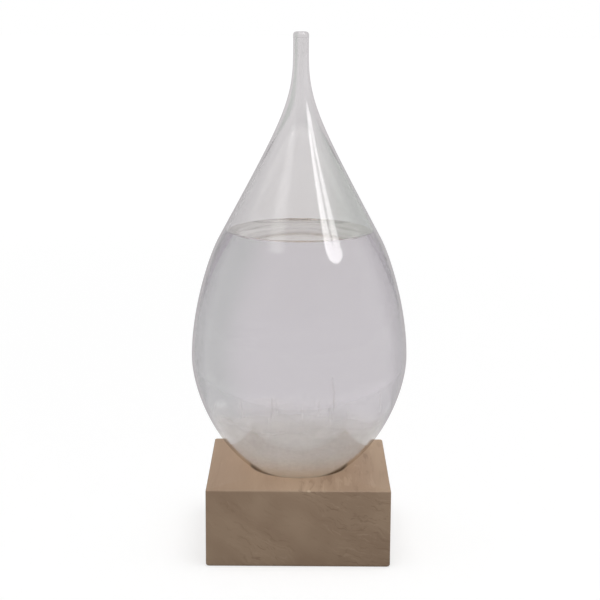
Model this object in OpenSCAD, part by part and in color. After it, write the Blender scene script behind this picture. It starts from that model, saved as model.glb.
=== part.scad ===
// Storm glass: a sealed glass drop of weather solution, standing in a square block of pale wood.
// Millimetres, +Z up. The origin is the centre of the block's underside.

/* [Wood block] */
// Side of the square block
base_side = 80; // [64:1:110]
// Height of the block
base_h = 34.5; // [26:0.5:60]
// Eased edge round the top and down the four corners
edge_ease = 0.6; // [0.2:0.1:3]
// Eased edge round the underside
foot_ease = 1.2; // [0.2:0.1:4]

/* [Seat in the block] */
// Diameter of the round seat that is drilled into the block
seat_d = 42.4; // [34:0.2:50]
// Depth of the seat below the block's top
seat_depth = 14.5; // [12:0.5:20]
// Eased rim of the seat, which the glass rests on
rim_ease = 0.8; // [0.3:0.1:3]
// Clear height between the rim and the glass that rests on it
seat_gap = 0.3; // [0.1:0.05:0.6]

/* [Glass drop, outside] */
// Height of the whole drop, from the bottom of its foot to the tip
drop_h = 201; // [180:1:230]
// Diameter of the drop at its widest place
drop_d = 96; // [84:1:110]
// Height of the widest place above the bottom of the foot
belly_up = 58; // [50:1:64]
// Height above the bottom of the foot at which the belly runs into the neck's long taper
shoulder_up = 111.2; // [104:0.1:120]
// Diameter of the drop at that height
shoulder_d = 71.6; // [64:0.1:76]
// Lean of the glass from upright at that height, in degrees
shoulder_lean = 28.4; // [24:0.1:32]
// Outer diameter of the straight neck
neck_d = 6.9; // [6:0.1:12]
// Length of the straight neck, with its sealed tip
neck_len = 9.2; // [7:0.1:20]

/* [Glass drop, wall] */
// Wall at the bottom of the foot
wall_foot = 2.4; // [1.6:0.1:4]
// Wall at the widest place
wall_belly = 1.7; // [1:0.1:3]
// Wall at the neck
wall_neck = 1.3; // [0.8:0.1:1.8]

/* [Sealed tip] */
// Height of the solid bead that closes the neck
bead_h = 2.6; // [1.5:0.1:5]
// Rounding of the bead's top edge
bead_round = 1.4; // [0.5:0.1:2.5]
// Length of the bead's stem inside the bore
stem_len = 2; // [1:0.1:4]
// Clearance between the stem and the bore
stem_fit = 0.05; // [0.02:0.01:0.2]

/* [Solution] */
// Height of the solution's level above the bottom of the drop's foot
level_up = 112.8; // [90:0.1:118]
// Height to which the solution climbs the glass at its edge
meniscus_h = 2; // [0.5:0.1:3]
// Width of the climbing edge
meniscus_w = 4; // [2:0.5:8]
// Clear space between the contents and the glass
wet_gap = 0.3; // [0.2:0.05:0.6]

/* [Crystals] */
// Height of the settled crystals above the bottom of the drop's foot
bed_up = 34; // [24:0.5:44]
// Height of the tallest heap on the settled crystals
heap_h = 5; // [2:0.5:8]
// Radius of a heap where it rises from the settled crystals
heap_r = 15; // [10:0.5:16]
// How many heaps stand round the middle one
heap_count = 5; // [3:1:7]
// Distance of their centres from the glass's axis
heap_ring = 21; // [16:0.5:22]
// How many loose crystals stand on the heaps
sprig_count = 12; // [6:1:24]
// Height of the smallest loose crystal
sprig_min = 4; // [3:0.5:6]
// Height of the largest loose crystal
sprig_max = 9; // [7:0.5:14]
// Thickness of a crystal's blades
blade_t = 0.5; // [0.3:0.1:1]
// Film of solution between the crystals and what they rest on
film = 0.1; // [0.05:0.05:0.3]

/* [Hidden] */
$fn = 96;

// How far each curve of the outline reaches from its ends before it turns, as shares of its own height
foot_flatness = 0.627;
foot_rise = 0.341;
belly_rise = 0.38;
shoulder_low = 0.194;
shoulder_high = 0.73;
neck_draw = 0.254;
foot_steps = 20;
side_steps = 16;
neck_steps = 26;

// A cubic curve through a and d with the handles b and c, and the direction of its travel
function curve(a, b, c, d, t) =
    pow(1 - t, 3) * a + 3 * pow(1 - t, 2) * t * b + 3 * (1 - t) * t * t * c + pow(t, 3) * d;
function travel(a, b, c, d, t) =
    pow(1 - t, 2) * (b - a) + 2 * (1 - t) * t * (c - b) + t * t * (d - c);

// The drop's outline as [radius, height above the bottom of the foot], in three curves
belly_r = drop_d / 2;
neck_r = neck_d / 2;
neck_up = drop_h - neck_len;
side_h = shoulder_up - belly_up;
taper_h = neck_up - shoulder_up;
lean = [-sin(shoulder_lean), cos(shoulder_lean)];
pole = [0, 0];
belly = [belly_r, belly_up];
shoulder = [shoulder_d / 2, shoulder_up];
neck = [neck_r, neck_up];
foot_curve = [pole, [foot_flatness * belly_r, 0], belly - [0, foot_rise * belly_up], belly];
side_curve = [belly, belly + [0, belly_rise * side_h], shoulder - shoulder_low * side_h * lean, shoulder];
neck_curve = [shoulder, shoulder + shoulder_high * taper_h * lean, neck - [0, neck_draw * taper_h], neck];

function on(c, t) = curve(c[0], c[1], c[2], c[3], t);
function outward(c, t) =
    let (d = travel(c[0], c[1], c[2], c[3], t))
    [d[1], -d[0]] / norm(d);
function wall_at(up) = lookup(up, [[0, wall_foot], [belly_up, wall_belly], [neck_up, wall_neck]]);

// One curve of the outline, set in from the glass's outside by so many walls and a further inset
function inset_curve(c, steps, first, walls, inset) = [
    for (i = [first:steps])
        let (p = on(c, i / steps))
        p - outward(c, i / steps) * (walls * wall_at(p[1]) + inset)
];
function outline(walls, inset) = concat(
    inset_curve(foot_curve, foot_steps, 0, walls, inset),
    inset_curve(side_curve, side_steps, 1, walls, inset),
    inset_curve(neck_curve, neck_steps, 1, walls, inset)
);
outside = outline(0, 0);
inside = outline(1, 0);
wet_side = outline(1, wet_gap);

// Radius of an outline at a height, and the heights of an outline at a radius near the foot
function radius_at(points, up) = lookup(up, [for (p = points) [p[1], p[0]]]);
function height_at(points, r) = lookup(r, [for (p = points) if (p[1] < belly_up) [p[0], p[1]]]);

// The glass rests where the rim of the seat meets its foot
rim_r = seat_d / 2 + rim_ease;
foot_sink = height_at(outside, rim_r);
drop_z = base_h - foot_sink + seat_gap;

bore_r = neck_r - wall_neck;
neck_top = drop_h - bead_h;

// Each heap on the settled bed as [x, y, radius, height]. The tallest one lies at the right
bed_r = radius_at(wet_side, bed_up);
heap_turn = 360 / heap_count;
middle_share = 0.6;
low_share = 0.4;
middle_heap = [0, 0, heap_r, heap_h * middle_share];
ring_heaps = [
    for (i = [0:heap_count - 1])
        [
            heap_ring * cos(i * heap_turn),
            heap_ring * sin(i * heap_turn),
            heap_r,
            heap_h * (low_share + (1 - low_share) * (1 + cos(i * heap_turn)) / 2)
        ]
];
heaps = concat([middle_heap], ring_heaps);

function cap_radius(spread, h) = (spread * spread + h * h) / (2 * h);
// Height of one heap over the flat bed at a place, and the height of the crystals there
function heap_over(heap, x, y) =
    let (
        ball = cap_radius(heap[2], heap[3]),
        away = norm([x - heap[0], y - heap[1]])
    )
    away < heap[2] ? sqrt(ball * ball - away * away) - ball + heap[3] : 0;
function bed_top(x, y) = bed_up + max([for (heap = heaps) heap_over(heap, x, y)]);

// Each loose crystal as [x, y, height], spread evenly over the heaps by turns of the golden angle
golden = 137.5;
field_share = 0.78;
sprig_field = field_share * bed_r;
sprigs = [
    for (i = [0:sprig_count - 1])
        let (
            out = sprig_field * sqrt((i + 0.5) / sprig_count),
            x = out * cos(i * golden),
            y = out * sin(i * golden),
            size = sprig_min + (sprig_max - sprig_min) * (1 + sin(i * i * golden)) / 2
        )
        [x, y, size]
];

// A blade's width, and the heights of its lower end, its widest place and its upper end, as shares
blade_share = 0.42;
blade_low = 0.12;
blade_widest = 0.55;
blade_high = 0.94;
blade_turn = 60;
needle_r = blade_t;

module square_block() {
    half = base_side / 2;
    side_profile = [
        [-half + foot_ease, 0], [half - foot_ease, 0], [half, foot_ease], [half, base_h - edge_ease],
        [half - edge_ease, base_h], [-half + edge_ease, base_h], [-half, base_h - edge_ease],
        [-half, foot_ease]
    ];
    corner = half - edge_ease;
    intersection() {
        rotate([90, 0, 0])
            linear_extrude(base_side, center = true)
                polygon(side_profile);
        rotate([90, 0, 90])
            linear_extrude(base_side, center = true)
                polygon(side_profile);
        linear_extrude(base_h)
            polygon([
                [-half, -corner], [-corner, -half], [corner, -half], [half, -corner],
                [half, corner], [corner, half], [-corner, half], [-half, corner]
            ]);
    }
}

module wood_base() {
    seat_r = seat_d / 2;
    past_top = base_h + rim_ease;
    color([0.64, 0.55, 0.46])
        difference() {
            square_block();
            rotate_extrude()
                polygon([
                    [0, base_h - seat_depth], [seat_r, base_h - seat_depth], [seat_r, base_h - rim_ease],
                    [rim_r, base_h], [rim_r, past_top], [0, past_top]
                ]);
        }
}

module glass_drop() {
    color([0.8, 0.8, 0.8, 0.35])
        translate([0, 0, drop_z])
            rotate_extrude()
                polygon(concat(
                    outside,
                    [[neck_r, neck_top], [bore_r, neck_top]],
                    [for (i = [len(inside) - 1:-1:0]) inside[i]]
                ));
}

module tip_seal() {
    stem_r = bore_r - stem_fit;
    round_steps = 6;
    color([0.78, 0.78, 0.78, 0.6])
        translate([0, 0, drop_z])
            rotate_extrude()
                polygon(concat(
                    [[0, neck_top - stem_len], [stem_r, neck_top - stem_len], [stem_r, neck_top]],
                    [[neck_r, neck_top]],
                    [
                        for (i = [0:round_steps])
                            [
                                neck_r - bead_round * (1 - cos(i * 90 / round_steps)),
                                drop_h - bead_round * (1 - sin(i * 90 / round_steps))
                            ]
                    ],
                    [[0, drop_h]]
                ));
}

// The heaps as caps of spheres that rise from the bed's flat top
module heap_caps(grow) {
    for (heap = heaps) {
        ball = cap_radius(heap[2], heap[3]);
        translate([heap[0], heap[1], bed_up + heap[3] - ball])
            sphere(ball + grow);
    }
}

// One loose crystal: a six-sided needle with three crossed blades
module sprig(size, grow) {
    wide = blade_share * size / 2 + grow;
    cylinder(h = size + grow, r = needle_r + grow, $fn = 6);
    for (turn = [0:blade_turn:180 - blade_turn])
        rotate([90, 0, turn])
            linear_extrude(blade_t + 2 * grow, center = true)
                polygon([
                    [0, blade_low * size - grow], [wide, blade_widest * size],
                    [0, blade_high * size + grow], [-wide, blade_widest * size]
                ]);
}

// All of them, clear of the heaps and of the room that the solution leaves round each
module every_sprig(grow) {
    for (s = sprigs)
        translate([s[0], s[1], bed_top(s[0], s[1]) + 3 * film])
            sprig(s[2], grow);
}

module storm_solution() {
    edge_up = level_up + meniscus_h;
    edge_r = radius_at(wet_side, edge_up);
    climb_steps = 8;
    floor_up = bed_up + film;
    color([0.78, 0.76, 0.78, 0.4])
        translate([0, 0, drop_z])
            difference() {
                rotate_extrude()
                    polygon(concat(
                        [[0, floor_up], [radius_at(wet_side, floor_up), floor_up]],
                        [for (p = wet_side) if (p[1] > floor_up && p[1] < edge_up) p],
                        [
                            for (i = [0:climb_steps])
                                [
                                    edge_r - meniscus_w * i / climb_steps,
                                    level_up + meniscus_h * pow(1 - i / climb_steps, 2)
                                ]
                        ],
                        [[0, level_up]]
                    ));
                heap_caps(film);
                every_sprig(film);
            }
}

module crystal_bed() {
    color([0.86, 0.84, 0.84])
        translate([0, 0, drop_z]) {
            rotate_extrude()
                polygon(concat(
                    [for (p = wet_side) if (p[1] < bed_up) p],
                    [[bed_r, bed_up], [0, bed_up]]
                ));
            intersection() {
                heap_caps(0);
                translate([0, 0, bed_up - film])
                    cylinder(h = 2 * heap_h, r = bed_r);
            }
        }
}

module crystal_sprigs() {
    color([0.95, 0.95, 0.96])
        translate([0, 0, drop_z])
            every_sprig(0);
}

wood_base();
glass_drop();
tip_seal();
storm_solution();
crystal_bed();
crystal_sprigs();
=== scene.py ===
import math

import bmesh
import bpy
from mathutils import Matrix, Vector


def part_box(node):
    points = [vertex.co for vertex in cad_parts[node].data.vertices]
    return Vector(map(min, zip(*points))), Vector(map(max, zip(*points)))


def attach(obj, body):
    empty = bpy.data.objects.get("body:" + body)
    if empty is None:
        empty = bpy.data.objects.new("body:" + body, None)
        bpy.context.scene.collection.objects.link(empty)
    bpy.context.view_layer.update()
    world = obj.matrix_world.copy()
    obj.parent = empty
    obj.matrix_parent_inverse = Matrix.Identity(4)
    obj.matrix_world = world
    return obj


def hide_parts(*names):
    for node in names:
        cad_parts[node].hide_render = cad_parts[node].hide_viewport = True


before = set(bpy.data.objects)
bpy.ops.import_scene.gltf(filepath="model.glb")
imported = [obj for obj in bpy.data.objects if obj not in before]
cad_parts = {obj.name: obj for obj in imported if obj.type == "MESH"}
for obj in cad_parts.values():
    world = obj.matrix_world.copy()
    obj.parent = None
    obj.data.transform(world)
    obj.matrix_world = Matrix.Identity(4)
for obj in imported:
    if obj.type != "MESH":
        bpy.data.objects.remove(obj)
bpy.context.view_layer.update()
scene = bpy.context.scene
MM = 0.001

# The studio: a white paper floor that runs out of sight, a white surround, and a camera a little above the
# glass's middle. To the eye, in mirrors and through glass the surround is plain white. As a source of light
# it is a softer grey, and a soft box overhead does the rest, so that the wood's top is brighter than its side.
CAMERA_AWAY = 720.1 * MM
CAMERA_PITCH = math.radians(11.36)
CAMERA_ROLL = math.radians(0.35)
CAMERA_AIM = Vector((0.22, 0, 110.2)) * MM
CAMERA_LENS = 97.06
AMBIENT = 0.39
WHITE = (1, 1, 1, 1)


def add(tree, kind, inputs=None, **settings):
    """A node with its settings, and its inputs set to values or linked to other nodes' outputs."""
    made = tree.nodes.new(kind)
    for name, value in settings.items():
        setattr(made, name, value)
    for name, value in (inputs or {}).items():
        if isinstance(value, bpy.types.NodeSocket):
            tree.links.new(value, made.inputs[name])
        else:
            made.inputs[name].default_value = value
    return made


def linear(hex_colour):
    """An sRGB hex colour as the linear RGBA that shaders take."""
    shares = [int(hex_colour[i : i + 2], 16) / 255 for i in (1, 3, 5)]
    return [c / 12.92 if c <= 0.04045 else ((c + 0.055) / 1.055) ** 2.4 for c in shares] + [1]


def new_material(name):
    """An empty node material and its tree."""
    made = bpy.data.materials.new(name)
    made.use_nodes = True
    made.node_tree.nodes.clear()
    return made, made.node_tree


def link_piece(name, mesh):
    piece = bpy.data.objects.new(name, mesh)
    scene.collection.objects.link(piece)
    return piece


forward = Vector((0, math.cos(CAMERA_PITCH), -math.sin(CAMERA_PITCH)))
level_right = Vector((1, 0, 0))
level_up = level_right.cross(forward)
rolled_right = level_right * math.cos(CAMERA_ROLL) + level_up * math.sin(CAMERA_ROLL)
rolled_up = level_up * math.cos(CAMERA_ROLL) - level_right * math.sin(CAMERA_ROLL)
camera_data = bpy.data.cameras.new("camera")
camera_data.lens = CAMERA_LENS
camera = link_piece("camera", camera_data)
camera.matrix_world = Matrix.Translation(CAMERA_AIM - forward * CAMERA_AWAY) @ Matrix(
    (rolled_right, rolled_up, -forward)
).transposed().to_4x4()
scene.camera = camera
scene.view_settings.view_transform = "Standard"


def white_to_sight(tree):
    """1 for rays from the camera, a mirror or clear glass, and 0 for rays that gather light."""
    path = add(tree, "ShaderNodeLightPath").outputs
    share = path["Is Camera Ray"]
    for kind in ("Is Glossy Ray", "Is Transmission Ray"):
        share = add(tree, "ShaderNodeMath", {0: share, 1: path[kind]}, operation="MAXIMUM").outputs[0]
    return share


world = bpy.data.worlds.new("white_surround")
scene.world = world
world.use_nodes = True
tree = world.node_tree
tree.nodes.clear()
glow = add(tree, "ShaderNodeMix", {"Factor": white_to_sight(tree), "A": AMBIENT, "B": 1.0}).outputs[0]
surround = add(tree, "ShaderNodeBackground", {"Color": WHITE, "Strength": glow})
add(tree, "ShaderNodeOutputWorld", {"Surface": surround.outputs[0]})


def between(tree, value, low, high, to_low=0.0, to_high=1.0):
    """value mapped smoothly from low and high to to_low and to_high."""
    return add(
        tree,
        "ShaderNodeMapRange",
        {"Value": value, "From Min": low, "From Max": high, "To Min": to_low, "To Max": to_high},
        interpolation_type="SMOOTHSTEP",
    ).outputs[0]


# The floor is matt white paper, a little grey as a source of light. To the eye it also glows, and by more the
# farther it is from the lamp's light, so that it is white all over and still keeps the block's shadow.
FLOOR_REACH = 6.0
GLOW_FROM, GLOW_TO = -0.3, 2.2
GLOW_NEAR, GLOW_FAR = 0.582, 0.86
floor_mesh = bpy.data.meshes.new("floor")
floor_mesh.from_pydata(
    [(x * FLOOR_REACH, y * FLOOR_REACH, 0) for x, y in ((-1, -1), (1, -1), (1, 1), (-1, 1))],
    [],
    [(0, 1, 2, 3)],
)
floor = link_piece("floor", floor_mesh)
floor_material, tree = new_material("white_paper_sweep")
paper = add(tree, "ShaderNodeBsdfDiffuse", {"Color": linear("#b4b4b4")})
on_floor = add(tree, "ShaderNodeTexCoord").outputs["Object"]
from_block = add(tree, "ShaderNodeVectorMath", {0: on_floor}, operation="LENGTH").outputs["Value"]
missing_light = between(tree, from_block, GLOW_FROM, GLOW_TO, GLOW_NEAR, GLOW_FAR)
paper_glow = add(tree, "ShaderNodeEmission", {"Color": WHITE, "Strength": missing_light})
seen_paper = add(tree, "ShaderNodeAddShader", {0: paper.outputs[0], 1: paper_glow.outputs[0]})
either = add(
    tree, "ShaderNodeMixShader", {0: white_to_sight(tree), 1: paper.outputs[0], 2: seen_paper.outputs[0]}
)
add(tree, "ShaderNodeOutputMaterial", {"Surface": either.outputs[0]})
floor_mesh.materials.append(floor_material)


def toward(turn, rise):
    """The direction that lies turn degrees to the right of the camera and rise degrees up, from the glass."""
    turn, rise = math.radians(turn), math.radians(rise)
    return Vector((math.sin(turn) * math.cos(rise), -math.cos(turn) * math.cos(rise), math.sin(rise)))


OVERHEAD = toward(20, 80)
OVERHEAD_AWAY = 1.4
OVERHEAD_SIDE = 1.2
OVERHEAD_POWER = 12.0
box_data = bpy.data.lights.new("overhead_box", "AREA")
box_data.shape = "RECTANGLE"
box_data.size, box_data.size_y = OVERHEAD_SIDE, OVERHEAD_SIDE
box_data.energy = OVERHEAD_POWER
overhead_box = link_piece("overhead_box", box_data)
overhead_box.location = OVERHEAD * OVERHEAD_AWAY
overhead_box.rotation_euler = OVERHEAD.to_track_quat("Z", "Y").to_euler()

# Two soft boxes give the glass its highlights, the right one with a slot that leaves a slit in its streak, and
# three thin grey nets give its sides their grey. Only mirrored and refracted rays meet them, so they neither
# light nor shade the wood.
SHEET_AIM = Vector((0, 0, 130)) * MM
BOX_AWAY = 1.2
NET_AWAY = 0.15
NET_RISES = (-50, 60)
NET_ROUNDING = 12
SLOT_FADE = 0.5
SLOT_DEPTH = 0.85


def hung_sheet(
    name, away, turns, rises, rounding, edge, shown_to, glow=0.0, far_share=1.0, shade=WHITE, slot=None
):
    """A curved sheet that hangs round the glass, from turn to turn and rise to rise in degrees. Its foot is
    rounded and its edge is soft. It glows, from its full glow at the first turn to a share of it at the last,
    and it dims what lies behind it to its shade. Only the kinds of ray in shown_to meet it. slot is an
    upright gap in it: its middle, its half width, the rise that it starts at and its own rounding."""
    across, tall = 24, 12
    mesh = bpy.data.meshes.new(name)
    places = [
        (turns[0] + (turns[1] - turns[0]) * i / across, rises[0] + (rises[1] - rises[0]) * j / tall)
        for j in range(tall + 1)
        for i in range(across + 1)
    ]
    faces = [
        (a, a + 1, a + across + 2, a + across + 1)
        for j in range(tall)
        for a in range(j * (across + 1), j * (across + 1) + across)
    ]
    mesh.from_pydata([SHEET_AIM + toward(*place) * away for place in places], [], faces)
    chart = mesh.uv_layers.new(name="degrees")
    for loop in mesh.loops:
        chart.data[loop.index].uv = places[loop.vertex_index]
    made, tree = new_material(name + "_cloth")
    chart_at = add(tree, "ShaderNodeUVMap", uv_map="degrees").outputs[0]
    at = add(tree, "ShaderNodeSeparateXYZ", {0: chart_at}).outputs

    def math_of(operation, a, b=0.0):
        return add(tree, "ShaderNodeMath", {0: a, 1: b}, operation=operation).outputs[0]

    def ramp(value, low, high, interpolation="SMOOTHSTEP", to=(0.0, 1.0)):
        return add(
            tree,
            "ShaderNodeMapRange",
            {"Value": value, "From Min": low, "From Max": high, "To Min": to[0], "To Max": to[1]},
            interpolation_type=interpolation,
        ).outputs[0]

    def patch(middle, half, foot, round_by, fade):
        """1 within an upright patch with a rounded foot, and 0 outside its soft edge."""
        beside = math_of("DIVIDE", math_of("SUBTRACT", at["X"], middle), half)
        over_foot = math_of("DIVIDE", math_of("SUBTRACT", at["Y"], foot + round_by), round_by)
        under = math_of("MINIMUM", over_foot, 0.0)
        square = math_of("ADD", math_of("MULTIPLY", beside, beside), math_of("MULTIPLY", under, under))
        return ramp(math_of("SQRT", square), 1.0, 1.0 - fade)

    level = patch((turns[0] + turns[1]) / 2, (turns[1] - turns[0]) / 2, rises[0], rounding, edge)
    level = math_of("MULTIPLY", level, ramp(at["Y"], rises[1], rises[1] - rounding))
    if slot:
        gap = math_of("MULTIPLY", patch(*slot, SLOT_FADE), SLOT_DEPTH)
        level = math_of("MULTIPLY", level, math_of("SUBTRACT", 1.0, gap))
    falling = ramp(at["X"], turns[0], turns[1], "LINEAR", (glow, glow * far_share))
    lit = add(tree, "ShaderNodeEmission", {"Color": WHITE, "Strength": math_of("MULTIPLY", level, falling)})
    thin = add(tree, "ShaderNodeMix", {0: level, 6: WHITE, 7: shade}, data_type="RGBA").outputs[2]
    clear = add(tree, "ShaderNodeBsdfTransparent", {"Color": thin})
    cloth = add(tree, "ShaderNodeAddShader", {0: lit.outputs[0], 1: clear.outputs[0]})
    add(tree, "ShaderNodeOutputMaterial", {"Surface": cloth.outputs[0]})
    mesh.materials.append(made)
    sheet = link_piece(name, mesh)
    for kind in ("camera", "diffuse", "glossy", "transmission", "volume_scatter", "shadow"):
        setattr(sheet, "visible_" + kind, kind in shown_to)


GLASS_RAYS = ("glossy", "transmission")
hung_sheet(
    "key_box_in_two_panels", BOX_AWAY, (41, 70), (27.8, 60), 9, 0.22, GLASS_RAYS,
    glow=6.4, far_share=0.75, slot=(56.5, 4.0, 39, 5),
)
hung_sheet("pale_box_at_the_left", BOX_AWAY, (-64, -20), (37, 66), 6, 0.8, GLASS_RAYS, glow=1.3)
for name, turns, edge, shown_to, shade in (
    ("grey_net_at_the_right", (110, 177), 0.3, ("transmission",), "#ebf0ec"),
    ("grey_net_at_the_left", (-166, -110), 0.3, ("transmission",), "#f4f4f4"),
    ("grey_net_behind", (95, 265), 0.2, ("glossy",), "#c8c8c8"),
):
    hung_sheet(name, NET_AWAY, turns, NET_RISES, NET_ROUNDING, edge, shown_to, shade=linear(shade))

# The block: one piece of pale beech, sawn square with its end grain to the front, its edges eased with
# fine paper and its round seat drilled with a flat-bottomed bit. A thin coat of wax gives it a low sheen.
base_low, base_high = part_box("wood_base")
SEAT_R = 21.2 * MM
SEAT_DEPTH = 14.5 * MM
RIM_EASE = 0.8 * MM
TOP_EASE = 0.7 * MM
FOOT_EASE = 1.2 * MM
CORNER_EASE = 0.9 * MM
SIDE_COLUMNS = 24
EASE_STEPS = 4
SHARP_FOLD = math.radians(40)


def rounded_square(half, corner, columns):
    """Points round a square with rounded corners, so many along each side and a quarter as many round each."""
    points = []
    for quarter in range(4):
        turned = Matrix.Rotation(math.tau * quarter / 4, 2)
        side_from, side_to = Vector((half, corner - half)), Vector((half, half - corner))
        points += [turned @ side_from.lerp(side_to, i / columns) for i in range(columns)]
        for i in range(columns // 4):
            angle = math.tau * i / columns
            way = Vector((math.cos(angle), math.sin(angle)))
            points.append(turned @ (Vector((half - corner, half - corner)) + corner * way))
    return points


half_side = (base_high.x - base_low.x) / 2
block_top = base_high.z
square_way = rounded_square(half_side, CORNER_EASE, SIDE_COLUMNS)
quarter_turn = [math.tau / 4 * i / EASE_STEPS for i in range(EASE_STEPS + 1)]
rows = [
    (
        rounded_square(half_side - FOOT_EASE * (1 - math.sin(a)), CORNER_EASE, SIDE_COLUMNS),
        FOOT_EASE * (1 - math.cos(a)),
    )
    for a in quarter_turn
]
rows += [
    (
        rounded_square(half_side - TOP_EASE * (1 - math.cos(a)), CORNER_EASE, SIDE_COLUMNS),
        block_top - TOP_EASE * (1 - math.sin(a)),
    )
    for a in quarter_turn
]
rows += [
    (
        [p.normalized() * (SEAT_R + RIM_EASE * (1 - math.sin(a))) for p in square_way],
        block_top - RIM_EASE * (1 - math.cos(a)),
    )
    for a in quarter_turn
]
rows.append(([p.normalized() * SEAT_R for p in square_way], block_top - SEAT_DEPTH))
block_shape = bmesh.new()
rings = [[block_shape.verts.new((x, y, z)) for x, y in points] for points, z in rows]
for low, high in zip(rings, rings[1:]):
    for i in range(len(low)):
        j = (i + 1) % len(low)
        block_shape.faces.new((low[i], low[j], high[j], high[i]))
block_shape.faces.new(rings[0][::-1])
block_shape.faces.new(rings[-1])
for face in block_shape.faces:
    face.smooth = True
for edge in block_shape.edges:
    edge.smooth = edge.calc_face_angle(0) < SHARP_FOLD
block_mesh = bpy.data.meshes.new("block")
block_shape.to_mesh(block_mesh)
block_shape.free()

# Waxed beech: broad faint growth rings curve about a pith that stood beyond the block's upper right, so they
# fall to the right across the end grain and run front to back along the top. Short pores and saw marks follow
# them in clusters. The drilled seat and its eased rim are painted darker, a painted shadow for the crevice
# round the glass's foot, and there is a small chip in the front edge.
PITH = (72, 0, 132)
RING_MM = 9.0
SEAT_EDGE_MM = 22.6
CHIP_AT = (4.6, -40.0, 34.5)
beech, tree = new_material("waxed_beech")


def colour_mix(tree, factor, a, b):
    """The colour sockets of a Mix node share their names with its number sockets, so they go by place."""
    return add(tree, "ShaderNodeMix", {0: factor, 6: a, 7: b}, data_type="RGBA").outputs[2]


place = add(tree, "ShaderNodeTexCoord").outputs
mm = add(tree, "ShaderNodeVectorMath", {0: place["Object"], "Scale": 1000.0}, operation="SCALE").outputs[0]
along = add(tree, "ShaderNodeVectorMath", {0: mm, 1: (1, 0.12, 1)}, operation="MULTIPLY").outputs[0]
wander = add(tree, "ShaderNodeTexNoise", {"Vector": along, "Scale": 0.05, "Detail": 4.0, "Roughness": 0.6})
wandered = add(tree, "ShaderNodeVectorMath", {0: wander.outputs["Color"], "Scale": 14.0}, operation="SCALE")
bent = add(tree, "ShaderNodeVectorMath", {0: along, 1: wandered.outputs[0]}, operation="ADD").outputs[0]
from_pith = add(tree, "ShaderNodeVectorMath", {0: bent, 1: PITH}, operation="SUBTRACT").outputs[0]
flat = add(tree, "ShaderNodeVectorMath", {0: from_pith, 1: (1, 0, 1)}, operation="MULTIPLY").outputs[0]
out_by = add(tree, "ShaderNodeVectorMath", {0: flat}, operation="LENGTH").outputs["Value"]
spread = add(tree, "ShaderNodeSeparateXYZ", {0: from_pith}).outputs
bearing = add(tree, "ShaderNodeMath", {0: spread["X"], 1: spread["Z"]}, operation="ARCTAN2").outputs[0]
round_by = add(tree, "ShaderNodeMath", {0: bearing, 1: 40.0}, operation="MULTIPLY").outputs[0]
rings_out = add(tree, "ShaderNodeMath", {0: out_by, 1: RING_MM}, operation="DIVIDE").outputs[0]
phase = add(tree, "ShaderNodeMath", {0: rings_out, 1: 1.0}, operation="PINGPONG").outputs[0]
late = between(tree, phase, 0.35, 1.0, 0.0, 0.2)
patch = add(tree, "ShaderNodeTexNoise", {"Vector": along, "Scale": 0.035, "Detail": 2.0}).outputs["Fac"]
ground = colour_mix(tree, between(tree, patch, 0.35, 0.65), linear("#ae957d"), linear("#a18871"))
ringed = colour_mix(tree, late, ground, linear("#8a6f5a"))
with_grain = add(tree, "ShaderNodeCombineXYZ", {"X": out_by, "Y": round_by, "Z": spread["Y"]}).outputs[0]
drawn_out = add(
    tree, "ShaderNodeVectorMath", {0: with_grain, 1: (1.0, 0.3, 0.5)}, operation="MULTIPLY"
).outputs[0]
strokes = add(
    tree, "ShaderNodeTexNoise", {"Vector": drawn_out, "Scale": 0.9, "Detail": 3.0, "Roughness": 0.6}
).outputs["Fac"]
cluster = add(tree, "ShaderNodeTexNoise", {"Vector": with_grain, "Scale": 0.06, "Detail": 1.0}).outputs["Fac"]
amid = between(tree, cluster, 0.42, 0.6, 0.25, 1.0)
stroked = ringed
for start, full, most, stroke_colour in ((0.54, 0.7, 0.5, "#7f6652"), (0.46, 0.3, 0.3, "#c4ab92")):
    strong = between(tree, strokes, start, full, 0.0, most)
    stroke = add(tree, "ShaderNodeMath", {0: strong, 1: amid}, operation="MULTIPLY").outputs[0]
    stroked = colour_mix(tree, stroke, stroked, linear(stroke_colour))
level_mm = add(tree, "ShaderNodeVectorMath", {0: mm, 1: (1, 1, 0)}, operation="MULTIPLY").outputs[0]
from_axis = add(tree, "ShaderNodeVectorMath", {0: level_mm}, operation="LENGTH").outputs["Value"]
# Painted shade: the seat and its eased rim darken towards a deep brown, a painted shadow for the crevice under
# the glass.
seat_painted_shade = between(tree, from_axis, SEAT_EDGE_MM, SEAT_EDGE_MM - 0.8, 0.0, 0.6)
with_seat_shade = colour_mix(tree, seat_painted_shade, stroked, linear("#4f4032"))
from_chip = add(tree, "ShaderNodeVectorMath", {0: mm, 1: CHIP_AT}, operation="DISTANCE").outputs["Value"]
chipped = colour_mix(tree, between(tree, from_chip, 1.1, 0.5, 0.0, 0.6), with_seat_shade, linear("#cdb79c"))
bump = add(tree, "ShaderNodeBump", {"Height": strokes, "Strength": 0.25, "Distance": 0.1 * MM})
skin = add(
    tree,
    "ShaderNodeBsdfPrincipled",
    {"Base Color": chipped, "Roughness": 0.55, "Specular IOR Level": 0.35, "Normal": bump.outputs[0]},
)
add(tree, "ShaderNodeOutputMaterial", {"Surface": skin.outputs[0]})
block_mesh.materials.append(beech)
block = link_piece("wood_block", block_mesh)
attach(block, "base")
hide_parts("wood_base")

# The glass: a drop of borosilicate glass, blown from tube and drawn out to a narrow neck, with a wall that
# thins from the foot to the neck. It stands loose on the rim of the block's seat.
DROP_H = 201.0
DROP_D = 96.0
BELLY_UP = 58.0
SHOULDER_UP = 111.2
SHOULDER_D = 71.6
SHOULDER_LEAN = math.radians(28.4)
NECK_D = 6.9
NECK_LEN = 9.2
BEAD_H = 2.6
WALL_FOOT = 2.4
WALL_BELLY = 1.7
WALL_NECK = 1.3
GLASS_IOR = 1.47
SPIN_STEPS = 256

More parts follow.
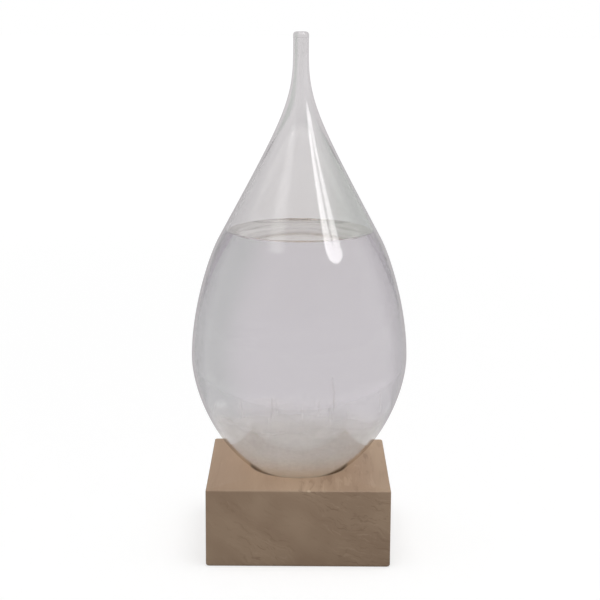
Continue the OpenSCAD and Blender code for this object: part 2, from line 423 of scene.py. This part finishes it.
DROP_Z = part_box("glass_drop")[0].z / MM
NECK_UP = DROP_H - NECK_LEN
side_h = SHOULDER_UP - BELLY_UP
taper_h = NECK_UP - SHOULDER_UP
lean = Vector((-math.sin(SHOULDER_LEAN), math.cos(SHOULDER_LEAN)))
belly = Vector((DROP_D / 2, BELLY_UP))
shoulder = Vector((SHOULDER_D / 2, SHOULDER_UP))
neck = Vector((NECK_D / 2, NECK_UP))
# Each curve of the outline as its two ends with their handles, [radius, height over the foot] in mm.
CURVES = (
    ((Vector((0, 0)), Vector((0.627 * DROP_D / 2, 0)), belly - Vector((0, 0.341 * BELLY_UP)), belly), 44),
    ((belly, belly + Vector((0, 0.38 * side_h)), shoulder - 0.194 * side_h * lean, shoulder), 30),
    ((shoulder, shoulder + 0.73 * taper_h * lean, neck - Vector((0, 0.254 * taper_h)), neck), 52),
)


def wall_at(up):
    if up < BELLY_UP:
        return WALL_FOOT + (WALL_BELLY - WALL_FOOT) * up / BELLY_UP
    return WALL_BELLY + (WALL_NECK - WALL_BELLY) * min(1, (up - BELLY_UP) / (NECK_UP - BELLY_UP))


def outline(walls, inset=0.0):
    """The drop's outline in mm as (radius, height over the foot), so many walls and an inset inside it."""
    points = []
    for (a, b, c, d), steps in CURVES:
        for i in range(1 if points else 0, steps + 1):
            t = i / steps
            at = (1 - t) ** 3 * a + 3 * (1 - t) ** 2 * t * b + 3 * (1 - t) * t * t * c + t**3 * d
            way = (1 - t) ** 2 * (b - a) + 2 * (1 - t) * t * (c - b) + t * t * (d - c)
            outward = Vector((way.y, -way.x)).normalized()
            points.append(at - outward * (walls * wall_at(at.y) + inset))
    return points


def spinner():
    """Geometry nodes that turn an outline of points in the XZ plane about the Z axis."""
    tree = bpy.data.node_groups.new("turned_on_the_axis", "GeometryNodeTree")
    face = tree.interface
    face.new_socket("Outline", in_out="INPUT", socket_type="NodeSocketGeometry")
    face.new_socket("Steps", in_out="INPUT", socket_type="NodeSocketInt")
    face.new_socket("Weld", in_out="INPUT", socket_type="NodeSocketFloat")
    face.new_socket("Fold", in_out="INPUT", socket_type="NodeSocketFloat")
    face.new_socket("Finish", in_out="INPUT", socket_type="NodeSocketMaterial")
    face.new_socket("Turned", in_out="OUTPUT", socket_type="NodeSocketGeometry")
    given = add(tree, "NodeGroupInput").outputs
    count = add(tree, "GeometryNodeAttributeDomainSize", {"Geometry": given["Outline"]}, component="MESH")
    across = add(tree, "ShaderNodeMath", {0: given["Steps"], 1: 1.0}, operation="ADD")
    sheet = add(
        tree,
        "GeometryNodeMeshGrid",
        {"Vertices X": count.outputs["Point Count"], "Vertices Y": across.outputs[0]},
    )
    index = add(tree, "GeometryNodeInputIndex").outputs[0]
    row = add(tree, "ShaderNodeMath", {0: index, 1: across.outputs[0]}, operation="DIVIDE")
    ring = add(tree, "ShaderNodeMath", {0: row.outputs[0]}, operation="FLOOR")
    step = add(tree, "ShaderNodeMath", {0: index, 1: across.outputs[0]}, operation="MODULO")
    turn = add(tree, "ShaderNodeMath", {0: step.outputs[0], 1: given["Steps"]}, operation="DIVIDE")
    angle = add(tree, "ShaderNodeMath", {0: turn.outputs[0], 1: math.tau}, operation="MULTIPLY")
    where = add(tree, "GeometryNodeInputPosition").outputs[0]
    point = add(
        tree,
        "GeometryNodeSampleIndex",
        {"Geometry": given["Outline"], "Value": where, "Index": ring.outputs[0]},
        data_type="FLOAT_VECTOR",
    )
    turned = add(
        tree,
        "ShaderNodeVectorRotate",
        {"Vector": point.outputs["Value"], "Angle": angle.outputs[0]},
        rotation_type="Z_AXIS",
    )
    placed = add(tree, "GeometryNodeSetPosition", {"Geometry": sheet.outputs[0], "Position": turned.outputs[0]})
    welded = add(
        tree, "GeometryNodeMergeByDistance", {"Geometry": placed.outputs[0], "Distance": given["Weld"]}
    )
    smooth = add(tree, "GeometryNodeSetShadeSmooth", {"Geometry": welded.outputs[0]}, domain="FACE")
    bend = add(tree, "GeometryNodeInputMeshEdgeAngle").outputs["Unsigned Angle"]
    gentle = add(tree, "FunctionNodeCompare", {"A": bend, "B": given["Fold"]}, operation="LESS_THAN")
    folded = add(
        tree,
        "GeometryNodeSetShadeSmooth",
        {"Geometry": smooth.outputs[0], "Shade Smooth": gentle.outputs[0]},
        domain="EDGE",
    )
    finished = add(
        tree, "GeometryNodeSetMaterial", {"Geometry": folded.outputs[0], "Material": given["Finish"]}
    )
    add(tree, "NodeGroupOutput", {"Turned": finished.outputs[0]})
    return tree


def made_by_nodes(name, mesh, tree, **sizes):
    """A plain mesh piece from a mesh and a tree, whose inputs are set by their names."""
    source = link_piece(name + "_source", mesh)
    modifier = source.modifiers.new("shape", "NODES")
    modifier.node_group = tree
    for item in tree.interface.items_tree:
        if item.in_out == "INPUT" and item.name in sizes:
            modifier[item.identifier] = sizes[item.name]
    bpy.context.view_layer.update()
    seen = source.evaluated_get(bpy.context.evaluated_depsgraph_get())
    result = bpy.data.meshes.new_from_object(seen)
    bpy.data.objects.remove(source)
    result.name = name
    return link_piece(name, result)


turned_tree = spinner()


def spun(name, points, skins, skin_of=None):
    """A closed body of revolution from an outline in mm that starts and ends on the axis or closes up. skin_of
    gives the number of a face's skin from its normal, its outward direction and its height over the foot."""
    mesh = bpy.data.meshes.new(name + "_outline")
    mesh.from_pydata([(x * MM, 0, (y + DROP_Z) * MM) for x, y in points], [], [])
    piece = made_by_nodes(
        name, mesh, turned_tree, Steps=SPIN_STEPS, Weld=1e-6, Fold=SHARP_FOLD, Finish=skins[0]
    )
    piece.data.materials.clear()
    for skin in skins:
        piece.data.materials.append(skin)
    shape = bmesh.new()
    shape.from_mesh(piece.data)
    if shape.calc_volume(signed=True) < 0:
        bmesh.ops.reverse_faces(shape, faces=shape.faces)
    for face in shape.faces:
        middle = face.calc_center_median()
        outward = Vector((middle.x, middle.y, 0)).normalized()
        face.material_index = skin_of(face.normal, outward, middle.z / MM - DROP_Z) if skin_of else 0
    shape.to_mesh(piece.data)
    shape.free()
    return piece


# Borosilicate glass is clear and colourless. Against white it reads as a light grey that deepens where the eye
# runs along the wall, so its outer face holds a painted grey tint, which is painted shade that grows darker at
# a glancing angle. Light that goes straight through its rims is given a painted grey too, lighter at the foot.
# Its inner face is plain, and doesn't mirror where the solution wets it or the bead is fused to it.
# From where to where the light takes to going straight on, by Layer Weight's Facing, which is 0 on a face seen
# square on and 1 at its edge: on the inner faces, on the outer face, and for rays caught under the outer face.
# The neck counts as that much nearer to an edge.
INNER_STRAIGHT = (0.4, 0.5)
OUTER_STRAIGHT = (0.7, 0.82)
OUTER_MOST = 0.9
CAUGHT_STRAIGHT = (0.26, 0.34)
NECK_MORE = 0.4
NECK_FROM, NECK_BY = 135, 178
FOOT_FROM, FOOT_BY = 12, 30


def glass_skin(name, tint, mirror):
    """Clear glass with a tint. Near its edges, in the neck and for rays caught inside, light goes straight on:
    it would be turned about in there until the renderer drops it, and leave a black rim."""
    made, tree = new_material(name)
    colour = tint
    glance = add(tree, "ShaderNodeLayerWeight", {"Blend": 0.5}).outputs["Facing"]
    if tint != WHITE:
        # Painted shade: towards a glancing angle the tint darkens to a deeper grey.
        edge = add(tree, "ShaderNodeMath", {0: glance, 1: 3.0}, operation="POWER").outputs[0]
        colour = colour_mix(tree, edge, tint, linear("#b4b1b2"))
    skin = add(
        tree,
        "ShaderNodeBsdfPrincipled",
        {
            "Base Color": colour,
            "Roughness": 0.0,
            "IOR": GLASS_IOR,
            "Specular IOR Level": mirror,
            "Transmission Weight": 1.0,
        },
    )
    past = add(tree, "ShaderNodeBsdfTransparent", {"Color": WHITE})
    place = add(tree, "ShaderNodeTexCoord").outputs["Object"]
    height = add(tree, "ShaderNodeSeparateXYZ", {0: place}).outputs["Z"]
    in_the_neck = between(tree, height, (DROP_Z + NECK_FROM) * MM, (DROP_Z + NECK_BY) * MM)
    near_edge = add(
        tree, "ShaderNodeMath", {0: in_the_neck, 1: NECK_MORE, 2: glance}, operation="MULTIPLY_ADD"
    ).outputs[0]
    share = between(tree, near_edge, *INNER_STRAIGHT)
    if tint != WHITE:
        # Painted shade on the share that goes straight through the rims: lighter at the foot, greyer up the body
        # and in the neck.
        up_the_foot = between(tree, height, (DROP_Z + FOOT_FROM) * MM, (DROP_Z + FOOT_BY) * MM)
        rim_painted_grey = colour_mix(tree, up_the_foot, linear("#f2efe9"), linear("#dad8d9"))
        rim_painted_grey = colour_mix(tree, in_the_neck, rim_painted_grey, linear("#e3e1e2"))
        tree.links.new(rim_painted_grey, past.inputs["Color"])
        from_inside = add(tree, "ShaderNodeNewGeometry").outputs["Backfacing"]
        rim = between(tree, near_edge, *OUTER_STRAIGHT, 0.0, OUTER_MOST)
        caught = between(tree, near_edge, *CAUGHT_STRAIGHT)
        share = add(tree, "ShaderNodeMix", {"Factor": from_inside, "A": rim, "B": caught}).outputs[0]
    surface = add(tree, "ShaderNodeMixShader", {0: share, 1: skin.outputs[0], 2: past.outputs[0]})
    add(tree, "ShaderNodeOutputMaterial", {"Surface": surface.outputs[0]})
    return made


LEVEL_UP = 112.8
MENISCUS_H = 2.0
STEM_LEN = 2.0
OUTER, INNER, JOINED = 0, 1, 2
glass_skins = (
    # The outer face's grey is a painted tint; the glass itself is colourless.
    glass_skin("blown_borosilicate_glass", linear("#cfcccd"), 0.5),
    glass_skin("inside_of_borosilicate_glass", WHITE, 0.5),
    glass_skin("borosilicate_glass_wetted_or_fused", WHITE, 0.0),
)
outside = outline(0)
inside = outline(1)
neck_top = DROP_H - BEAD_H
bore_r = NECK_D / 2 - WALL_NECK


def drop_skin(normal, outward, up):
    """The outer, inner or joined skin. On the round foot and the neck's end a face's slope tells in from out."""
    level_there = up < 10 or up > neck_top - 0.01
    turned_in = normal.z > 0 if level_there else normal.dot(outward) < 0
    if not turned_in:
        return OUTER
    return JOINED if up < LEVEL_UP + MENISCUS_H or up > neck_top - STEM_LEN else INNER


drop = spun(
    "glass_drop_blown",
    outside + [Vector((NECK_D / 2, neck_top)), Vector((bore_r, neck_top))] + inside[::-1],
    glass_skins,
    drop_skin,
)
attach(drop, "glass")
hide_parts("glass_drop")
drop.visible_shadow = False

# The bead: the neck's open end is melted shut after filling, which leaves a rounded bead with a short stem
# in the bore. It is the same glass as the drop.
BEAD_ROUND = 1.4
STEM_DOME = 0.9
FUSED = 0.06
stem_r = bore_r + FUSED
dome = [
    Vector((stem_r * math.sin(a), neck_top - STEM_LEN + STEM_DOME * (1 - math.cos(a))))
    for a in (math.radians(degrees) for degrees in range(0, 91, 10))
]
bead_arc = [
    Vector((NECK_D / 2 - BEAD_ROUND * (1 - math.cos(a)), DROP_H - BEAD_ROUND * (1 - math.sin(a))))
    for a in (math.radians(degrees) for degrees in range(0, 91, 9))
]


def bead_skin(normal, outward, up):
    if up > neck_top:
        return OUTER
    return INNER if up < neck_top - STEM_LEN + STEM_DOME - 0.05 else JOINED


bead = spun(
    "tip_bead",
    dome
    + [Vector((stem_r, neck_top - FUSED)), Vector((NECK_D / 2, neck_top - FUSED))]
    + bead_arc
    + [Vector((0, DROP_H))],
    glass_skins,
    bead_skin,
)
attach(bead, "glass")
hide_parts("tip_seal")
bead.visible_shadow = False

# The solution: water and alcohol with camphor and salts. It wets the glass all over and climbs it a little at
# its edge. It is clear, with a faint mauve grey that is held by its skin, and overlaps the wall by a hair, so
# that light goes from glass to liquid without air between.
MENISCUS_W = 4.0
CLIMB_STEPS = 14
LEVEL_STEPS = 8
WETTING = 0.1
SOLUTION_IOR = 1.36


def solution_finish(name, tint, mirror):
    made, tree = new_material(name)
    skin = add(
        tree,
        "ShaderNodeBsdfPrincipled",
        {
            "Base Color": tint,
            "Roughness": 0.0,
            "IOR": SOLUTION_IOR,
            "Specular IOR Level": mirror,
            "Transmission Weight": 1.0,
        },
    )
    surface = skin
    if not mirror:
        glance = add(tree, "ShaderNodeLayerWeight", {"Blend": 0.5}).outputs["Facing"]
        past = add(tree, "ShaderNodeBsdfTransparent", {"Color": WHITE})
        share = between(tree, glance, *INNER_STRAIGHT)
        surface = add(tree, "ShaderNodeMixShader", {0: share, 1: skin.outputs[0], 2: past.outputs[0]})
    add(tree, "ShaderNodeOutputMaterial", {"Surface": surface.outputs[0]})
    return made


wet = outline(1, -WETTING)


def radius_at(points, up):
    for low, high in zip(points, points[1:]):
        if low.y <= up <= high.y:
            return low.x + (high.x - low.x) * (up - low.y) / (high.y - low.y)
    raise ValueError("no such height on the outline")


edge_up = LEVEL_UP + MENISCUS_H
edge_r = radius_at(wet, edge_up)
shares = [i / CLIMB_STEPS for i in range(CLIMB_STEPS + 1)]
climb = [Vector((edge_r - MENISCUS_W * s, LEVEL_UP + MENISCUS_H * (1 - s) ** 2)) for s in shares]
level = [Vector((climb[-1].x * (1 - i / LEVEL_STEPS), LEVEL_UP)) for i in range(1, LEVEL_STEPS + 1)]


def solution_skin(normal, outward, up):
    """1 where the solution wets the glass, and 0 on its open surface."""
    return 1 if up < LEVEL_UP - 1 or normal.dot(outward) > 0.1 else 0


solution = spun(
    "storm_solution_fill",
    [p for p in wet if p.y < edge_up] + climb + level,
    (
        # Painted light: the open surface is tinted yellower than the wetted skin, a stand-in for the warm tone
        # its surface band shows, which the liquid itself doesn't have.
        solution_finish("storm_solution_surface", linear("#f4f2ea"), 0.5),
        solution_finish("storm_solution_on_glass", linear("#f3f1f5"), 0.0),
    ),
    solution_skin,
)
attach(solution, "contents")
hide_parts("storm_solution")
solution.visible_shadow = False

# The settled crystals: a loose bed of fine salt and camphor needles on the bottom of the glass, thick below
# and thinning out to a soft edge at its heaped top. The finest of them hang as a white haze between, on three
# shells. The bed's lowest part is painted tan, fading to white upwards: painted shade and painted light from
# the wood, not a colour of the crystals.
BED_UP = 34.0
HAZE_TOP = 40.0
HAZE_SHARES = (1.0, 0.72, 0.42)
HAZE_OFF_THE_GLASS = 0.7
HAZE_SWELL = 16.0
HAZE_STARTS, HAZE_IS_FULL = 8, 26
HAZE_COVER = 0.45
SHELL_RISE = 6
PAINTED_TAN_UP = (6, 22)
PAINTED_WOOD_TAN = linear("#e6d4ba")
haze, tree = new_material("haze_of_fine_crystals")
place = add(tree, "ShaderNodeTexCoord").outputs["Object"]
mm = add(tree, "ShaderNodeVectorMath", {0: place, "Scale": 1000.0}, operation="SCALE").outputs[0]
swell = add(tree, "ShaderNodeTexNoise", {"Vector": mm, "Scale": 0.05, "Detail": 3.0, "Roughness": 0.5})
lift = add(tree, "ShaderNodeMath", {0: swell.outputs["Fac"], 1: HAZE_SWELL}, operation="MULTIPLY").outputs[0]
height = add(tree, "ShaderNodeSeparateXYZ", {0: mm}).outputs["Z"]
sunk = add(tree, "ShaderNodeMath", {0: height, 1: lift}, operation="SUBTRACT").outputs[0]
haze_top = DROP_Z + HAZE_TOP
thick = between(tree, sunk, haze_top - HAZE_STARTS, haze_top - HAZE_IS_FULL, 0.0, HAZE_COVER)
grain = add(tree, "ShaderNodeTexNoise", {"Vector": mm, "Scale": 0.9, "Detail": 3.0, "Roughness": 0.7})
mottle = add(
    tree,
    "ShaderNodeMapRange",
    {"Value": grain.outputs["Fac"], "From Min": 0.3, "From Max": 0.7, "To Min": 0.85, "To Max": 1.15},
).outputs[0]
level_mm = add(tree, "ShaderNodeVectorMath", {0: mm, 1: (1, 1, 0)}, operation="MULTIPLY").outputs[0]
from_axis = add(tree, "ShaderNodeVectorMath", {0: level_mm}, operation="LENGTH").outputs["Value"]
by_the_wall = between(tree, from_axis, 14, 34, 1.05, 1.9)
mottled = add(tree, "ShaderNodeMath", {0: by_the_wall, 1: mottle}, operation="MULTIPLY").outputs[0]
opacity = add(tree, "ShaderNodeMath", {0: thick, 1: mottled}, operation="MULTIPLY").outputs[0]
# Painted light: the haze's lowest part is tinted tan for the shade and the wood's light there.
painted_tan_to_white = between(tree, height, DROP_Z + PAINTED_TAN_UP[0], DROP_Z + PAINTED_TAN_UP[1])
with_painted_tan = colour_mix(tree, painted_tan_to_white, PAINTED_WOOD_TAN, linear("#f7f5f0"))
lit_front = add(tree, "ShaderNodeBsdfDiffuse", {"Color": with_painted_tan})
lit_through = add(tree, "ShaderNodeBsdfTranslucent", {"Color": with_painted_tan})
white = add(tree, "ShaderNodeMixShader", {0: 0.5, 1: lit_front.outputs[0], 2: lit_through.outputs[0]})
clear = add(tree, "ShaderNodeBsdfTransparent")
veil = add(tree, "ShaderNodeMixShader", {0: opacity, 1: clear.outputs[0], 2: white.outputs[0]})
add(tree, "ShaderNodeOutputMaterial", {"Surface": veil.outputs[0]})
for number, share in enumerate(HAZE_SHARES):
    raised = [Vector((p.x * share, p.y + (1 - share) * SHELL_RISE)) for p in outline(1, HAZE_OFF_THE_GLASS)]
    shell = [p for p in raised if p.y < HAZE_TOP]
    veil_piece = spun("crystal_haze_%d" % (number + 1), shell + [Vector((0, shell[-1].y))], (haze,))
    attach(veil_piece, "contents")
    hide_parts("crystal_bed")
    veil_piece.visible_shadow = False

# The needles: salt and camphor crystals, white and a little glossy, which gives the bed a faint sparkle. Real
# ones are finer still, and these are as coarse as they need to be to show.
bed_crystal, tree = new_material("settled_salt_crystals")
place = add(tree, "ShaderNodeTexCoord").outputs["Object"]
height = add(tree, "ShaderNodeSeparateXYZ", {0: place}).outputs["Z"]
# Painted light: the needles' lowest part takes the same painted tan for the shade and the wood's light.
painted_tan_to_white = between(tree, height, (DROP_Z + PAINTED_TAN_UP[0]) * MM, (DROP_Z + PAINTED_TAN_UP[1]) * MM)
with_painted_tan = colour_mix(tree, painted_tan_to_white, PAINTED_WOOD_TAN, linear("#f4f2ec"))
white = add(tree, "ShaderNodeBsdfPrincipled", {"Base Color": with_painted_tan, "Roughness": 0.4})
add(tree, "ShaderNodeOutputMaterial", {"Surface": white.outputs[0]})
NEEDLES_PER_ML = 420
NEEDLE_LONG = 1.0 * MM
NEEDLE_WIDE = 0.05 * MM
OFF_THE_GLASS = 0.45 * MM
SOFT_TOP = 13.0 * MM
bed_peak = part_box("crystal_bed")[1].z


def needle_bed():
    """Geometry nodes that fill a closed body with needles lying at all angles, fewer towards its top."""
    tree = bpy.data.node_groups.new("settled_needles", "GeometryNodeTree")
    face = tree.interface
    face.new_socket("Body", in_out="INPUT", socket_type="NodeSocketGeometry")
    for name in ("Density", "Length", "Width", "Clearance", "Top", "Soft"):
        face.new_socket(name, in_out="INPUT", socket_type="NodeSocketFloat")
    face.new_socket("Seed", in_out="INPUT", socket_type="NodeSocketInt")
    face.new_socket("Finish", in_out="INPUT", socket_type="NodeSocketMaterial")
    face.new_socket("Needles", in_out="OUTPUT", socket_type="NodeSocketGeometry")
    given = add(tree, "NodeGroupInput").outputs
    filled = add(
        tree, "GeometryNodeMeshToVolume", {"Mesh": given["Body"], "Density": 1.0, "Voxel Amount": 90.0}
    )
    points = add(
        tree,
        "GeometryNodeDistributePointsInVolume",
        {"Volume": filled.outputs[0], "Density": given["Density"], "Seed": given["Seed"]},
    )
    where = add(tree, "GeometryNodeInputPosition").outputs[0]
    near = add(tree, "GeometryNodeProximity", {0: given["Body"]}, target_element="FACES")
    close = add(
        tree,
        "FunctionNodeCompare",
        {"A": near.outputs["Distance"], "B": given["Clearance"]},
        operation="LESS_THAN",
    )
    height = add(tree, "ShaderNodeSeparateXYZ", {0: where}).outputs["Z"]
    under = add(tree, "ShaderNodeMath", {0: given["Top"], 1: height}, operation="SUBTRACT")
    share = add(tree, "ShaderNodeMath", {0: under.outputs[0], 1: given["Soft"]}, operation="DIVIDE")
    chance = add(tree, "FunctionNodeRandomValue", {"Seed": given["Seed"]}, data_type="FLOAT")
    thin = add(
        tree, "FunctionNodeCompare", {"A": share.outputs[0], "B": chance.outputs[1]}, operation="LESS_THAN"
    )
    gone = add(tree, "FunctionNodeBooleanMath", {0: close.outputs[0], 1: thin.outputs[0]}, operation="OR")
    kept = add(
        tree,
        "GeometryNodeDeleteGeometry",
        {"Geometry": points.outputs[0], "Selection": gone.outputs[0]},
        domain="POINT",
    )
    needle = add(
        tree,
        "GeometryNodeMeshCone",
        {"Vertices": 3, "Radius Top": 0.0, "Radius Bottom": given["Width"], "Depth": given["Length"]},
    )
    middle = add(tree, "ShaderNodeMath", {0: given["Length"], 1: -0.5}, operation="MULTIPLY")
    down = add(tree, "ShaderNodeCombineXYZ", {"Z": middle.outputs[0]})
    centred = add(
        tree, "GeometryNodeTransform", {"Geometry": needle.outputs[0], "Translation": down.outputs[0]}
    )
    turn = add(
        tree,
        "FunctionNodeRandomValue",
        {0: (-math.pi,) * 3, 1: (math.pi,) * 3, "Seed": given["Seed"]},
        data_type="FLOAT_VECTOR",
    )
    size_seed = add(tree, "ShaderNodeMath", {0: given["Seed"], 1: 7.0}, operation="ADD")
    size = add(
        tree, "FunctionNodeRandomValue", {2: 0.55, 3: 1.1, "Seed": size_seed.outputs[0]}, data_type="FLOAT"
    )
    set_on = add(
        tree,
        "GeometryNodeInstanceOnPoints",
        {
            "Points": kept.outputs[0],
            "Instance": centred.outputs[0],
            "Rotation": turn.outputs[0],
            "Scale": size.outputs[1],
        },
    )
    real = add(tree, "GeometryNodeRealizeInstances", {"Geometry": set_on.outputs[0]})
    finished = add(tree, "GeometryNodeSetMaterial", {"Geometry": real.outputs[0], "Material": given["Finish"]})
    add(tree, "NodeGroupOutput", {"Needles": finished.outputs[0]})
    return tree


def merged_copy(node):
    """A copy of a CAD node's mesh with its loose triangles joined."""
    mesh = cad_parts[node].data.copy()
    shape = bmesh.new()
    shape.from_mesh(mesh)
    bmesh.ops.remove_doubles(shape, verts=shape.verts, dist=1e-6)
    shape.to_mesh(mesh)
    shape.free()
    return mesh


bed = made_by_nodes(
    "settled_needles",
    merged_copy("crystal_bed"),
    needle_bed(),
    Density=NEEDLES_PER_ML * 1e6,
    Length=NEEDLE_LONG,
    Width=NEEDLE_WIDE,
    Clearance=OFF_THE_GLASS,
    Top=bed_peak,
    Soft=SOFT_TOP,
    Seed=11,
    Finish=bed_crystal,
)
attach(bed, "contents")
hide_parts("crystal_bed")

# The loose crystals: feathery sprigs of camphor that stand on the bed's heaps. Each grows as a thin stem with
# rows of barbs that lean up from it.
HEAP_H = 5.0
HEAP_R = 15.0
HEAP_COUNT = 5
HEAP_RING = 21.0
SPRIG_COUNT = 12
SPRIG_MIN = 4.0
SPRIG_MAX = 9.0
FILM = 0.1
FIELD_SHARE = 0.78
GOLDEN = math.radians(137.5)
heaps = [(0, 0, HEAP_H * 0.6)] + [
    (
        HEAP_RING * math.cos(math.tau * i / HEAP_COUNT),
        HEAP_RING * math.sin(math.tau * i / HEAP_COUNT),
        HEAP_H * (0.4 + 0.6 * (1 + math.cos(math.tau * i / HEAP_COUNT)) / 2),
    )
    for i in range(HEAP_COUNT)
]


def bed_top(x, y):
    top = BED_UP
    for heap_x, heap_y, high in heaps:
        ball = (HEAP_R**2 + high**2) / (2 * high)
        away = math.hypot(x - heap_x, y - heap_y)
        if away < HEAP_R:
            top = max(top, BED_UP + math.sqrt(ball**2 - away**2) - ball + high)
    return top


field = FIELD_SHARE * radius_at(outline(1, 0.3), BED_UP)
roots, sizes = [], []
for i in range(SPRIG_COUNT):
    out_by = field * math.sqrt((i + 0.5) / SPRIG_COUNT)
    x, y = out_by * math.cos(i * GOLDEN), out_by * math.sin(i * GOLDEN)
    roots.append((x * MM, y * MM, (DROP_Z + bed_top(x, y) + 3 * FILM) * MM))
    sizes.append((SPRIG_MIN + (SPRIG_MAX - SPRIG_MIN) * (1 + math.sin(i * i * GOLDEN)) / 2) * MM)
root_mesh = bpy.data.meshes.new("sprig_roots")
root_mesh.from_pydata(roots, [], [])
root_mesh.attributes.new("size", "FLOAT", "POINT").data.foreach_set("value", sizes)


def feather_tree():
    """Geometry nodes that grow a feathery sprig at each root: a stem and rings of barbs that lean upwards."""
    tree = bpy.data.node_groups.new("feathery_sprigs", "GeometryNodeTree")
    face = tree.interface
    face.new_socket("Roots", in_out="INPUT", socket_type="NodeSocketGeometry")
    face.new_socket("Rings", in_out="INPUT", socket_type="NodeSocketInt")
    face.new_socket("Rays", in_out="INPUT", socket_type="NodeSocketInt")
    for name in ("Lean", "Reach", "Thickness"):
        face.new_socket(name, in_out="INPUT", socket_type="NodeSocketFloat")
    face.new_socket("Seed", in_out="INPUT", socket_type="NodeSocketInt")
    face.new_socket("Finish", in_out="INPUT", socket_type="NodeSocketMaterial")
    face.new_socket("Sprigs", in_out="OUTPUT", socket_type="NodeSocketGeometry")
    given = add(tree, "NodeGroupInput").outputs
    total = add(tree, "ShaderNodeMath", {0: given["Rings"], 1: given["Rays"]}, operation="MULTIPLY").outputs[0]
    barbs = add(tree, "GeometryNodeMeshLine", {"Count": total})
    index = add(tree, "GeometryNodeInputIndex").outputs[0]
    by_rays = add(tree, "ShaderNodeMath", {0: index, 1: given["Rays"]}, operation="DIVIDE").outputs[0]
    ring = add(tree, "ShaderNodeMath", {0: by_rays}, operation="FLOOR").outputs[0]
    ray = add(tree, "ShaderNodeMath", {0: index, 1: given["Rays"]}, operation="MODULO").outputs[0]
    ring_share = add(tree, "ShaderNodeMath", {0: ring, 1: given["Rings"]}, operation="DIVIDE").outputs[0]
    up = add(tree, "ShaderNodeMapRange", {"Value": ring_share, "To Min": 0.12, "To Max": 0.96}).outputs[0]
    at = add(tree, "ShaderNodeCombineXYZ", {"Z": up}).outputs[0]
    placed = add(tree, "GeometryNodeSetPosition", {"Geometry": barbs.outputs[0], "Position": at})
    arch = add(tree, "ShaderNodeMath", {0: ring_share, 1: math.pi}, operation="MULTIPLY").outputs[0]
    swell = add(tree, "ShaderNodeMath", {0: arch}, operation="SINE").outputs[0]
    length = add(tree, "ShaderNodeMapRange", {"Value": swell, "To Min": 0.35, "To Max": 1.0}).outputs[0]
    uneven = add(
        tree, "FunctionNodeRandomValue", {2: 0.75, 3: 1.0, "Seed": given["Seed"]}, data_type="FLOAT"
    ).outputs[1]
    long_by = add(tree, "ShaderNodeMath", {0: length, 1: uneven}, operation="MULTIPLY").outputs[0]
    ray_share = add(tree, "ShaderNodeMath", {0: ray, 1: given["Rays"]}, operation="DIVIDE").outputs[0]
    turn = add(tree, "ShaderNodeMath", {0: ray_share, 1: math.tau}, operation="MULTIPLY").outputs[0]
    way = add(tree, "ShaderNodeCombineXYZ", {"Y": given["Lean"], "Z": turn}).outputs[0]
    barb = add(
        tree,
        "GeometryNodeMeshCone",
        {"Vertices": 3, "Radius Top": 0.0, "Radius Bottom": given["Thickness"], "Depth": given["Reach"]},
    )
    fan = add(
        tree,
        "GeometryNodeInstanceOnPoints",
        {"Points": placed.outputs[0], "Instance": barb.outputs[0], "Rotation": way, "Scale": long_by},
    )
    stem_wide = add(tree, "ShaderNodeMath", {0: given["Thickness"], 1: 1.4}, operation="MULTIPLY").outputs[0]
    stem = add(
        tree,
        "GeometryNodeMeshCone",
        {"Vertices": 5, "Radius Top": 0.0, "Radius Bottom": stem_wide, "Depth": 1.0},
    )
    both = tree.nodes.new("GeometryNodeJoinGeometry")
    tree.links.new(fan.outputs[0], both.inputs[0])
    tree.links.new(stem.outputs[0], both.inputs[0])
    size = add(
        tree, "GeometryNodeInputNamedAttribute", {"Name": "size"}, data_type="FLOAT"
    ).outputs["Attribute"]
    spin = add(
        tree,
        "FunctionNodeRandomValue",
        {0: (-0.2, -0.2, 0.0), 1: (0.2, 0.2, 3.0), "Seed": given["Seed"]},
        data_type="FLOAT_VECTOR",
    ).outputs[0]
    grown = add(
        tree,
        "GeometryNodeInstanceOnPoints",
        {"Points": given["Roots"], "Instance": both.outputs[0], "Rotation": spin, "Scale": size},
    )
    real = add(tree, "GeometryNodeRealizeInstances", {"Geometry": grown.outputs[0]})
    finished = add(tree, "GeometryNodeSetMaterial", {"Geometry": real.outputs[0], "Material": given["Finish"]})
    add(tree, "NodeGroupOutput", {"Sprigs": finished.outputs[0]})
    return tree


# Camphor grows in thin clear needles. Half of the light that meets them goes through, so they look white from
# the front and from behind, and never dark.
camphor, tree = new_material("clear_camphor_crystals")
lit_front = add(tree, "ShaderNodeBsdfDiffuse", {"Color": linear("#fbfafb")})
lit_through = add(tree, "ShaderNodeBsdfTranslucent", {"Color": linear("#fbfafb")})
crystal = add(tree, "ShaderNodeMixShader", {0: 0.5, 1: lit_front.outputs[0], 2: lit_through.outputs[0]})
add(tree, "ShaderNodeOutputMaterial", {"Surface": crystal.outputs[0]})
sprigs = made_by_nodes(
    "camphor_sprigs",
    root_mesh,
    feather_tree(),
    Rings=12,
    Rays=6,
    Lean=math.radians(52),
    Reach=0.2,
    Thickness=0.006,
    Seed=5,
    Finish=camphor,
)
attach(sprigs, "contents")
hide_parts("crystal_sprigs")
